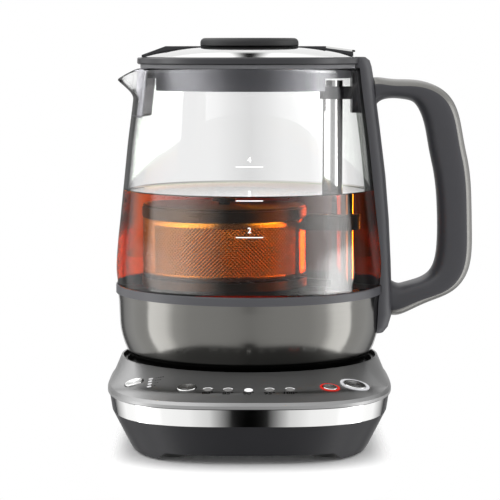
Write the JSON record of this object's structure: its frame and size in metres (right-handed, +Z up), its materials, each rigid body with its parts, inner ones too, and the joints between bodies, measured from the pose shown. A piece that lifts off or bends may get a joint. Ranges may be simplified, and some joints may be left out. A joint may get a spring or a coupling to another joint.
{
  "type": "automatic tea maker",
  "caption": "Glass jug on a powered base, with a mesh tea basket that lifts itself along a post, a domed lid, a bow handle and push buttons.",
  "frame": {"origin": "on the table, under the vertical axis that the jug turns about", "axes": "+Z up, -Y to the front with the controls, +X to the handle, -X to the spout"},
  "size_m": [0.2011, 0.19, 0.2197],
  "materials": {
    "housing_plastic": "moulded charcoal ABS, fine matt grain",
    "black_plastic": "moulded black polypropylene, matt",
    "seat_plastic": "moulded black ABS, satin",
    "band_steel": "polished stainless steel",
    "smoked_steel": "smoked satin stainless steel",
    "smoked_deck": "smoked satin steel panel",
    "foot_rubber": "matt rubber",
    "screw_steel": "zinc plated steel",
    "contact_brass": "bright brass",
    "board_green": "glass-filled epoxy board with solder mask",
    "led_lens": "frosted clear acrylic",
    "cancel_red": "red acrylic ring",
    "start_white": "white acrylic ring",
    "button_chrome": "satin chromed ABS",
    "collar_plastic": "moulded dark grey nylon, satin",
    "floor_steel": "stainless steel, satin",
    "silicone": "grey silicone rubber",
    "heater_aluminium": "cast aluminium",
    "heater_steel": "drawn steel sheath",
    "jug_glass": "blown borosilicate glass",
    "strainer_steel": "etched stainless sheet",
    "post_steel": "polished stainless tube",
    "bracket_plastic": "moulded dark nylon",
    "magnet": "nickel plated magnet",
    "motor_steel": "zinc plated steel can",
    "basket_steel": "stainless steel, satin",
    "basket_mesh_steel": "perforated stainless sheet",
    "handle_plastic": "moulded dark grey nylon, satin",
    "handle_satin": "satin metallic grey coating",
    "lid_grey": "moulded grey polypropylene",
    "lid_dark": "moulded dark grey nylon",
    "lid_steel": "polished stainless steel",
    "knob_plastic": "moulded charcoal nylon, soft satin"
  },
  "bodies": {
    "base": {"base_housing": "housing_plastic", "base_trim_band": "band_steel", "base_bottom_plate": "black_plastic", "rubber_feet": "foot_rubber", "base_screws": "screw_steel", "cord_gland": "black_plastic", "base_deck": "smoked_deck", "seat_well": "seat_plastic", "connector_socket": "black_plastic", "socket_contacts": "contact_brass", "control_board": "board_green", "tact_switches": "black_plastic", "strength_leds": "led_lens", "temperature_leds": "led_lens", "cancel_ring": "cancel_red", "start_ring": "start_white"},
    "button_strength": {"button_strength": "button_chrome"},
    "button_temperature": {"button_temperature": "button_chrome"},
    "button_cancel": {"button_cancel": "button_chrome"},
    "button_start": {"button_start": "button_chrome"},
    "coupler": {"jug_connector": "black_plastic"},
    "jug": {"underside_cover": "black_plastic", "steel_shell": "smoked_steel", "jug_collar": "collar_plastic", "floor_plate": "floor_steel", "floor_seal": "silicone", "heater_plate": "heater_aluminium", "heating_element": "heater_steel", "temperature_sensor": "floor_steel", "glass_jug": "jug_glass", "spout_strainer": "strainer_steel", "basket_post": "post_steel", "post_foot_seal": "silicone", "post_top_bracket": "bracket_plastic", "lift_motor": "motor_steel", "handle_spine": "handle_plastic", "handle_grip": "handle_plastic", "handle_outer_shell": "handle_satin", "handle_screws": "screw_steel"},
    "screw_rod": {"lift_screw": "screw_steel"},
    "magnet_nut": {"drive_magnet": "magnet"},
    "basket": {"basket_base_ring": "basket_steel", "basket_floor": "basket_steel", "basket_mesh": "basket_mesh_steel", "basket_rim": "basket_steel", "basket_saddle": "bracket_plastic", "saddle_magnet": "magnet"},
    "basket_cover": {"basket_lid": "basket_steel", "basket_lid_knob": "black_plastic"},
    "lid": {"lid_plug": "lid_grey", "lid_seal": "silicone", "lid_rim": "lid_dark", "lid_cap": "lid_steel", "lid_bar": "lid_dark", "lid_tab": "lid_steel", "lid_tab_tip": "foot_rubber", "lid_knob": "knob_plastic", "lid_screws": "screw_steel"}
  },
  "joints": [
    {"name": "jug_lift", "type": "slide", "parent": "base", "child": "coupler", "axis": [0, 0, 1], "range_m": [0, 0.1]},
    {"name": "jug_swivel", "type": "hinge", "parent": "coupler", "child": "jug", "pos_m": [0, 0, 0.0384], "axis": [0, 0, 1], "continuous": true},
    {"name": "lid_lift", "type": "slide", "parent": "jug", "child": "lid", "axis": [0, 0, 1], "range_m": [0, 0.07]},
    {"name": "basket_lift", "type": "slide", "parent": "jug", "child": "basket", "axis": [0, 0, 1], "range_m": [0, 0.062]},
    {"name": "basket_cover_lift", "type": "slide", "parent": "basket", "child": "basket_cover", "axis": [0, 0, 1], "range_m": [0, 0.03]},
    {"name": "nut_travel", "type": "slide", "parent": "jug", "child": "magnet_nut", "axis": [0, 0, 1], "range_m": [0, 0.062]},
    {"name": "screw_spin", "type": "hinge", "parent": "jug", "child": "screw_rod", "pos_m": [0.0462, 0, 0.1], "axis": [0, 0, 1], "range_deg": [0, 1120]},
    {"name": "button_strength_press", "type": "slide", "parent": "base", "child": "button_strength", "axis": [0.2553, 0.1537, -0.9546], "range_m": [0, 0.0007], "stiffness_N_per_m": 400},
    {"name": "button_temperature_press", "type": "slide", "parent": "base", "child": "button_temperature", "axis": [0.0673, 0.2063, -0.9762], "range_m": [0, 0.0007], "stiffness_N_per_m": 400},
    {"name": "button_cancel_press", "type": "slide", "parent": "base", "child": "button_cancel", "axis": [-0.1028, 0.1927, -0.9758], "range_m": [0, 0.0007], "stiffness_N_per_m": 400},
    {"name": "button_start_press", "type": "slide", "parent": "base", "child": "button_start", "axis": [-0.1895, 0.1675, -0.9675], "range_m": [0, 0.0007], "stiffness_N_per_m": 400}
  ],
  "couplings": [
    {"joint": "nut_travel", "follows": "basket_lift", "ratio": 1},
    {"joint": "screw_spin", "follows": "basket_lift", "rad_per_m": 314.16}
  ]
}
